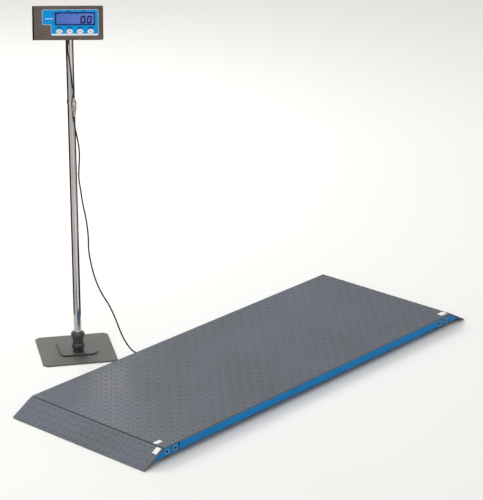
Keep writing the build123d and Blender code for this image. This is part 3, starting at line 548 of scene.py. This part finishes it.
def tube_round(line, radius, count=20):
    """Rings of a tube round a line, turned as little as possible from one to the next."""
    rings = []
    side = None
    for i, point in enumerate(line):
        ahead = (line[min(i + 1, len(line) - 1)] - line[max(i - 1, 0)]).normalized()
        if side is None:
            side = ahead.orthogonal().normalized()
        side = (side - ahead * side.dot(ahead)).normalized()
        other = ahead.cross(side)
        size = radius(i) if callable(radius) else radius
        rings.append([point + (side * cos(2 * pi * k / count) + other * sin(2 * pi * k / count))
                      * size for k in range(count)])
    return rings


cable_points = [Vector(point) * MM for point in cable_route]
cable_points.reverse()
platform_cable = spline_curve("platform_cable_curve", cable_points, cable_diameter * MM)
platform_cable.data.materials.append(cable_sheath)
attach(platform_cable, "root")
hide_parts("platform_cable")

column_axis = Vector((column_x, column_y, 0))
lead_points = [column_axis + tilt_axis * side * MM + forward * front * MM
               + Vector((0, 0, height * MM)) for side, front, height in lead_route]
lead_line = followed(lead_points)


bm = bmesh.new()
add_ring_stack(bm, tube_round(lead_line, lead_diameter / 2 * MM), Matrix.Identity(4))
bmesh.ops.recalc_face_normals(bm, faces=bm.faces)
lead_mesh = bpy.data.meshes.new("indicator_lead_tube")
bm.to_mesh(lead_mesh)
bm.free()
lead_mesh.shade_smooth()
lead_mesh.materials.append(cable_sheath)
indicator_lead = add_object("indicator_lead_tube", lead_mesh)
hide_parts("indicator_lead")
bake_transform(indicator_lead)


# ---------------------------------------------------------------- connector in the cable
plug_low, plug_high = (Vector(corner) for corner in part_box("connector_plug"))
plug_middle = (plug_low + plug_high) / 2
connector_axis = Matrix.Translation((plug_middle.x, plug_middle.y, plug_low.z)) @ Matrix.Scale(
    MM, 4)
plug_length = 48.0


def turned(bm, profile, matrix, count=48, ridges=0, ridge_depth=0.0):
    """A turned piece from (radius, height, ridged) points, bottom to top."""
    rings = []
    for radius, height, ridged in profile:
        ring = []
        for i in range(count):
            angle = 2 * pi * i / count
            lift = ridge_depth * cos(ridges * angle) if ridged else 0
            ring.append(((radius + lift) * cos(angle), (radius + lift) * sin(angle), height))
        rings.append(ring)
    add_ring_stack(bm, rings, matrix)


def build_plug(bm):
    profile = [(4.2, 0, 0), (5.4, 0.4, 0), (6.0, 1.4, 0), (6.0, 9.4, 0), (7.0, 11.0, 0),
               (7.8, 13.5, 0), (8.0, 16, 0), (8.0, 25.4, 0), (8.6, 26.0, 0), (10.2, 27.2, 0),
               (10.5, 28.2, 1), (10.6, 29, 1), (10.6, 44.5, 1), (10.4, 45.6, 0), (10.4, 47.0, 0),
               (9.8, plug_length, 0)]
    turned(bm, profile, connector_axis, count=120, ridges=30, ridge_depth=0.35)


def build_receptacle(bm):
    z = plug_length
    profile = [(9.2, z, 0), (9.5, z + 0.4, 0), (9.5, z + 3.4, 0), (8.7, z + 3.8, 0),
               (8.7, z + 18.2, 0), (9.5, z + 18.6, 0), (9.5, z + 21.4, 0), (9.0, z + 22, 0),
               (7.0, z + 25, 0), (6.0, z + 28, 0), (6.0, z + 34.5, 0), (5.2, z + 36.2, 0),
               (4.0, z + 37, 0)]
    turned(bm, profile, connector_axis, count=64)


plug_piece = piece_from("plug_body", build_plug, nickel, "root", smooth=40)
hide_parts("connector_plug")
receptacle_piece = piece_from("receptacle_body", build_receptacle, nickel, "root",
                              smooth=40)
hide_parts("connector_receptacle")

# Boots, in millimetres: the step between rings, what the line runs past the end, and the ribs.
boot_step = 0.6
boot_spare = 2
boot_rib = 0.35
boot_rib_pitch = 3.6


def build_boot(line, wide, narrow, length):
    """A ribbed, tapering strain relief along the first part of a cord's line."""
    def build(bm):
        travelled = [0.0]
        for a, b in zip(line, line[1:]):
            travelled.append(travelled[-1] + (b - a).length / MM)
        last = max(i for i, t in enumerate(travelled) if t <= length)

        def radius(i):
            share = travelled[i] / travelled[last]
            rib = boot_rib * (1 if (travelled[i] % boot_rib_pitch) < boot_rib_pitch * 0.6 else -1)
            return (wide + (narrow - wide) * share + rib * (1 - share)) / 2 * MM

        add_ring_stack(bm, tube_round(line[:last + 1], radius, count=32), Matrix.Identity(4))
    return build


def finely(line, step, reach):
    """The first part of a line, cut into short equal steps."""
    out = []
    travelled = 0.0
    for a, b in zip(line, line[1:]):
        length = (b - a).length
        while len(out) * step - travelled <= length and len(out) * step <= reach:
            out.append(a.lerp(b, (len(out) * step - travelled) / length))
        travelled += length
        if len(out) * step > reach:
            break
    return out


def boot_on(name, line, wide, narrow, length):
    """A boot on the first part of a cord's line. Sizes are in millimetres."""
    fine = finely(line, boot_step * MM, (length + boot_spare) * MM)
    return piece_from(name, build_boot(fine, wide, narrow, length), black_nylon, "root",
                      smooth=50)


cable_line = followed(cable_points)
plug_boot = boot_on("plug_boot", list(reversed(cable_line)), wide=11.0, narrow=7.6, length=28)
gland_boot = boot_on("gland_boot", cable_line, wide=10.5, narrow=7.6, length=22)
lead_boot = boot_on("receptacle_boot", list(reversed(lead_line)), wide=9.6, narrow=6.9, length=20)

# ---------------------------------------------------------------- tread pattern
tread_pitch = 31.0 * MM
# Half of a mark's length and width.
tread_long = 13.0 * MM
tread_wide = 4.0 * MM
tread_rise = 1.3 * MM
tread_margin = 9.0 * MM
tread_turn = 45
tread_pinch = 0.45
tread_sides = 12


def add_lozenge(bm, matrix):
    """One raised tread mark: a pointed oval with a domed top."""
    rings = []
    for share, height in ((1.0, -0.1), (0.86, 0.55), (0.55, 1.0)):
        ring = []
        for x, y in circle(1, tread_sides):
            pinch = 1 - tread_pinch * abs(x) ** 3
            ring.append((x * tread_long * share, y * tread_wide * pinch * share,
                         height * tread_rise))
        rings.append(ring)
    add_ring_stack(bm, rings, matrix, close_first=False)


def tread_on(bm, length, width, matrix, clear=()):
    """Marks turned to one side and the other, over a flat area centred on the matrix.
    The areas in clear, each (x, y, length, width) in the matrix's plane, stay smooth."""
    columns = int((length - 2 * tread_margin) / tread_pitch)
    rows = int((width - 2 * tread_margin) / tread_pitch)
    for i in range(columns + 1):
        for j in range(rows + 1):
            x = (i - columns / 2) * tread_pitch
            y = (j - rows / 2) * tread_pitch
            if any(abs(x - cx) < (cl + tread_long) / 2 and abs(y - cy) < (cw + tread_long) / 2
                   for cx, cy, cl, cw in clear):
                continue
            turn = radians(tread_turn if (i + j) % 2 else -tread_turn)
            add_lozenge(bm, matrix @ Matrix.Translation((x, y, 0)) @ Matrix.Rotation(turn, 4, "Z"))


# Blank labels, in the plane of the face that each is on: middle, length and width in millimetres.
deck_labels = {"label_deck_left": (-931.5, -326.5, 36.0, 20.0),
               "label_deck_right": (930.0, -352.5, 40.0, 28.0)}
ramp_labels = {"label_ramp": (42.0, -362.5, 33.0, 24.0)}
label_lift = 0.25


def clear_areas(labels):
    return [[value * MM for value in area] for area in labels.values()]


def build_deck_tread(bm):
    size = deck_high - deck_low
    tread_on(bm, size.x, size.y, Matrix.Translation((deck_middle.x, deck_middle.y, deck_top)),
             clear_areas(deck_labels))


piece_from("deck_tread", build_deck_tread, tread_paint, "root", smooth=60)
ramp_tip = 3.0 * MM
ramp_planes = {}
for side, name in ((-1, "ramp_left"), (1, "ramp_right")):
    low, high = (Vector(corner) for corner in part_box(name))
    run = high.x - low.x
    fall = high.z - low.z - ramp_tip
    centre = ((low.x + high.x) / 2, platform_y, (high.z + low.z + ramp_tip) / 2)
    slope = Vector((run, fall)).angle_signed(Vector((1, 0)))
    plane = Matrix.Translation(centre) @ Matrix.Rotation(abs(slope) * side, 4, "Y")

    ramp_planes[name] = plane
    clear = clear_areas(ramp_labels) if name == "ramp_left" else ()

    def build_ramp_tread(bm, plane=plane, length=hypot(run, fall), width=high.y - low.y,
                         clear=clear):
        tread_on(bm, length, width, plane, clear)

    piece_from(f"{name}_tread", build_ramp_tread, tread_paint, "root", smooth=60)

# ---------------------------------------------------------------- blank labels on the deck
on_deck = Matrix.Translation((deck_middle.x, deck_middle.y, deck_top))
for plane, labels in ((on_deck, deck_labels), (ramp_planes["ramp_left"], ramp_labels)):
    for name, area in labels.items():
        outline = rounded(box_outline(*area), 2.0, 3)

        def build_label(bm, outline=outline, place=plane @ Matrix.Scale(MM, 4)):
            add_prism(bm, outline, 0.0, label_lift, place)

        piece_from(name, build_label, paper, "root")

# ---------------------------------------------------------------- indicator's face
# Heights over the face, in millimetres: prints on the overlay, and glyphs on the display.
print_sink, print_rise = 0.1, 0.08
print_foot = overlay_top - print_sink
print_top = overlay_top + print_rise
glyph_foot, glyph_top, marker_top = -3.4, -3.15, -3.2
throat_foot, throat_top = -3.3, overlay_top - 0.05


def window_outline(gap):
    """The window's outline, smaller by a gap in each direction."""
    return box_outline(*window_place, window_size[0] - gap, window_size[1] - gap)


def build_pane(bm):
    """Clear pane with a bevelled rim."""
    outline, small = rounded(window_outline(0.8), 1.5), rounded(window_outline(1.4), 1.5)
    add_ring_stack(bm, [at_height(outline, -0.9), at_height(outline, 0.3), at_height(small, 0.6)],
                   to_head)


pane = piece_from("display_pane", build_pane, pane_clear, "head")
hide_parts("lcd_window")


def build_display_frame(bm):
    """Dark print round the window, which also lines the sides of its opening."""
    opening = window_outline(0.1)
    outer = rounded(inset(opening, -3.0), 2.0)
    inner = rounded(opening, 0.8)
    add_band(bm, outer, inner, print_foot, print_top, to_head)
    throat = rounded(inset(opening, 2.0), 0.8)
    add_band(bm, inner, throat, throat_foot, throat_top, to_head)


piece_from("display_frame", build_display_frame, ink_navy, "head")

digit_size = (21.0, 33.0)
digit_stroke = 6.6
digit_slant = 0.1
digit_places = [(65.0, 13.8), (91.5, 13.8)]
dot_size = 3.6
marker_places = (-42.0, 18.0, 41.0)


def add_segment(bm, x0, y0, x1, y1, matrix):
    """One stroke of a digit with pointed ends."""
    along = Vector((x1 - x0, y1 - y0))
    unit = along.normalized()
    side = Vector((-unit.y, unit.x)) * digit_stroke / 2
    tip = unit * digit_stroke / 4
    start, end = Vector((x0, y0)) - unit * 0.8, Vector((x1, y1)) + unit * 0.8
    outline = [start, start + tip + side, end - tip + side, end, end - tip - side,
               start + tip - side]
    slanted = [(p.x + digit_slant * p.y, p.y) for p in outline]
    add_prism(bm, slanted, glyph_foot, glyph_top, matrix)


def build_digits(bm):
    """Two noughts with a point between them."""
    w, h = (digit_size[0] - digit_stroke) / 2, (digit_size[1] - digit_stroke) / 2
    for x, y in digit_places:
        matrix = to_head @ Matrix.Translation((x, y, 0))
        for x0, y0, x1, y1 in ((-w, h, w, h), (w, h, w, 0), (w, 0, w, -h), (w, -h, -w, -h),
                               (-w, -h, -w, 0), (-w, 0, -w, h)):
            add_segment(bm, x0, y0, x1, y1, matrix)
    middle = (digit_places[0][0] + digit_places[1][0]) / 2 - 1.5
    dot = rounded(box_outline(middle, digit_places[0][1] - h - 0.2, dot_size, dot_size), 1.2, 3)
    add_prism(bm, dot, glyph_foot, glyph_top, to_head)


piece_from("display_digits", build_digits, digit_ink, "head")


def build_markers(bm):
    """Small unlit marks along the top of the display."""
    top = window_place[1] + window_size[1] / 2 - 6.5
    for x in marker_places:
        outline = [(x - 3.6, top + 2.4), (x + 3.6, top + 2.4), (x, top - 2.6)]
        add_prism(bm, outline, glyph_foot, marker_top, to_head)


piece_from("display_markers", build_markers, ink_navy, "head")


def build_border(bm):
    """Pale line round the overlay's edge."""
    outer = rounded(inset(overlay_corners, 0.2), overlay_radius - 0.2)
    inner = rounded(inset(overlay_corners, 1.9), overlay_radius - 1.9)
    add_band(bm, outer, inner, print_foot, print_top, to_head)


piece_from("overlay_border", build_border, ink_pale, "head")


strip_rise = 0.1
name_bar = (-77.0, 18.5, 34.0, 2.6)


def build_white_print(bm):
    """Wide white line along the overlay's lower edge, and a plain bar where a name would be."""
    right, low = overlay_corners[2]
    left = overlay_corners[3][0]
    strip = rounded(box_outline((right + left) / 2, low + 4.0, right - left - 5, 7.4), 3.0, 4)
    add_prism(bm, strip, print_foot, overlay_top + strip_rise, to_head)
    add_prism(bm, rounded(box_outline(*name_bar), 1.2, 4), print_foot, print_top, to_head)


piece_from("overlay_white_print", build_white_print, ink_white, "head")


# Captions: plain bars (middle, width and height), and an arc over each key.
caption_bars = [(-29.5, 50.8, 13.0, 2.2), (6.0, 50.2, 16.0, 4.0), (68.0, 50.2, 16.0, 3.6),
                (-59.5, 39.0, 7.5, 4.4), (-60.5, 2.0, 7.5, 4.4)]
arc_reach, arc_rise, arc_foot, arc_height = 11.0, 2.4, 21.8, 4.0
arc_shares = (-1, -0.75, -0.4, 0, 0.4, 0.75, 1)


def build_captions(bm):
    """Plain dark shapes where captions are printed over the display and the keys."""
    for x, y, width, height in caption_bars:
        outline = rounded(box_outline(x, y, width, height), height / 2 - 0.1, 4)
        add_prism(bm, outline, print_foot, print_top, to_head)
    bend = [(t * arc_reach, arc_rise * cos(t * pi / 2) - arc_foot) for t in arc_shares]
    for across in key_places:
        outline = [(across + x, y) for x, y in bend]
        outline += [(across + x, y + arc_height) for x, y in reversed(bend)]
        add_prism(bm, outline, print_foot, print_top, to_head)


piece_from("overlay_captions", build_captions, ink_navy, "head")


def icon_ring(bm, matrix):
    add_band(bm, circle(4.0), circle(2.4), -print_sink, print_rise, matrix)


def icon_bar(bm, matrix):
    add_prism(bm, rounded(box_outline(0, 0, 10.0, 2.4), 1.1, 3), -print_sink, print_rise, matrix)


def icon_double_bar(bm, matrix):
    for y in (-1.7, 1.7):
        bar = rounded(box_outline(0, y, 8.5, 1.6), 0.7, 3)
        add_prism(bm, bar, -print_sink, print_rise, matrix)


def icon_chevron(bm, matrix):
    outline = [(-5, 1.6), (-3.4, 3.0), (0, -0.6), (3.4, 3.0), (5, 1.6), (0, -3.4)]
    add_prism(bm, outline, -print_sink, print_rise, matrix)


icons = (icon_ring, icon_bar, icon_double_bar, icon_chevron)
for number, (across, icon) in enumerate(zip(key_places, icons), 1):
    def build_icon(bm, icon=icon, place=Matrix.Translation((across, key_row, key_face))):
        icon(bm, to_head @ place)

    piece_from(f"key_icon_{number}", build_icon, key_ink, f"key_body_{number}")

# ---------------------------------------------------------------- painted shade in the rear screws' cross recesses
screw_reach = (139.0, 63.0)
screw_head_face = -65.7
recess_length, recess_width = 4.4, 1.2
recess_foot, recess_top = screw_head_face - 0.04, screw_head_face + 0.3


def build_recess_shade(bm):
    """A dark cross on each screw's head, as painted shade standing in for its cross recess, turned as the screw
    happens to stand.
    """
    for i in (-1, 0, 1):
        for j in (-1, 1):
            place = to_head @ Matrix.Translation((i * screw_reach[0], j * screw_reach[1], 0))
            for turn in (0, 90):
                arm = rounded(box_outline(0, 0, recess_length, recess_width), 0.3, 2)
                add_prism(bm, arm, recess_foot, recess_top,
                          place @ Matrix.Rotation(radians(turn + 20 * i + 35 * j), 4, "Z"))


piece_from("screw_recess_shade", build_recess_shade, bracket_black, "head")

# ---------------------------------------------------------------- stage and light
floor_reach = 16.0
floor_look = Look("studio_floor")
floor_tone = floor_look.noise(floor_look.mapped((2500, 2500, 2500)), detail=2)
floor_look.colour(floor_look.blend(floor_tone, (0.86, 0.86, 0.855), (0.89, 0.89, 0.885)))
floor_look.set(rough=0.8, specular=0.2)
floor_mesh = bpy.data.meshes.new("floor")
bm = bmesh.new()
bm.faces.new([bm.verts.new((x * floor_reach, y * floor_reach, 0))
              for x, y in ((-1, -1), (1, -1), (1, 1), (-1, 1))])
bm.to_mesh(floor_mesh)
bm.free()
floor_mesh.materials.append(floor_look.material)
floor = add_object("floor", floor_mesh)


def area_light(name, place, target, size, watts, colour):
    data = bpy.data.lights.new(name, "AREA")
    data.shape = "RECTANGLE"
    data.size, data.size_y = size
    data.energy = watts
    data.color = colour
    light = add_object(name, data)
    light.location = place
    aim = Vector(target) - Vector(place)
    light.rotation_euler = aim.to_track_quat("-Z", "Y").to_euler()


area_light("key_light", place=(1.2, 4.2, 4.4), target=(0, 0, 0.1), size=(3.0, 3.0), watts=165,
           colour=(1.0, 0.99, 0.98))
area_light("fill_light", place=(-6.5, -1.0, 3.6), target=(0, 0, 0.5), size=(4.0, 3.0), watts=110,
           colour=(1.0, 0.98, 0.95))

card_foot = 0.12


def reflection_card(name, turn, distance, width, height, glow):
    """A card beside the column that only shows in its polish: dark, or a bright strip."""
    card_look = Look(name)
    card_look.colour(card_look.blend(card_look.noise(card_look.mapped((900, 900, 900))),
                                     (0.01, 0.01, 0.01), (0.02, 0.02, 0.02)))
    card_look.set(rough=1.0, specular=0.0)
    card_look.shader.inputs["Emission Color"].default_value = (1, 0.97, 0.95, 1)
    card_look.shader.inputs["Emission Strength"].default_value = glow
    toward_camera = Vector((back.x, back.y, 0)).normalized()
    way = Matrix.Rotation(radians(turn), 3, "Z") @ toward_camera
    side = way.cross(Vector((0, 0, 1))) * width / 2
    foot = Vector((column_x, column_y, 0)) + way * distance
    mesh = bpy.data.meshes.new(name)
    corners = [foot + way_side + Vector((0, 0, level))
               for way_side, level in ((-side, card_foot), (side, card_foot), (side, height),
                                       (-side, height))]
    mesh.from_pydata(corners, [], [(0, 1, 2, 3)])
    mesh.materials.append(card_look.material)
    card = add_object(name, mesh)
    card.visible_camera = False
    card.visible_diffuse = False
    card.visible_shadow = False
    card.visible_transmission = False


reflection_card("flag_left", turn=-116, distance=0.15, width=0.32, height=1.45, glow=0.0)
reflection_card("flag_right", turn=119, distance=0.15, width=0.18, height=1.45, glow=0.0)
reflection_card("strip_right", turn=38, distance=0.24, width=0.20, height=1.4, glow=1.5)

# The sky goes from warm grey at the horizon to near white overhead.
horizon_colour = (0.46, 0.45, 0.435, 1)
zenith_colour = (0.93, 0.92, 0.90, 1)
zenith_level = 0.7
sky_strength = 0.88
world = bpy.data.worlds.new("studio")
bpy.context.scene.world = world
world.use_nodes = True
sky = world.node_tree.nodes
background = sky["Background"]
direction = sky.new("ShaderNodeTexCoord")
parts = sky.new("ShaderNodeSeparateXYZ")
ramp = sky.new("ShaderNodeValToRGB")
world.node_tree.links.new(direction.outputs["Generated"], parts.inputs["Vector"])
world.node_tree.links.new(parts.outputs["Z"], ramp.inputs["Fac"])
world.node_tree.links.new(ramp.outputs["Color"], background.inputs["Color"])
low_sky, high_sky = ramp.color_ramp.elements
low_sky.position = 0.0
low_sky.color = horizon_colour
high_sky.position = zenith_level
high_sky.color = zenith_colour
background.inputs["Strength"].default_value = sky_strength
bpy.context.scene.view_settings.view_transform = "Standard"
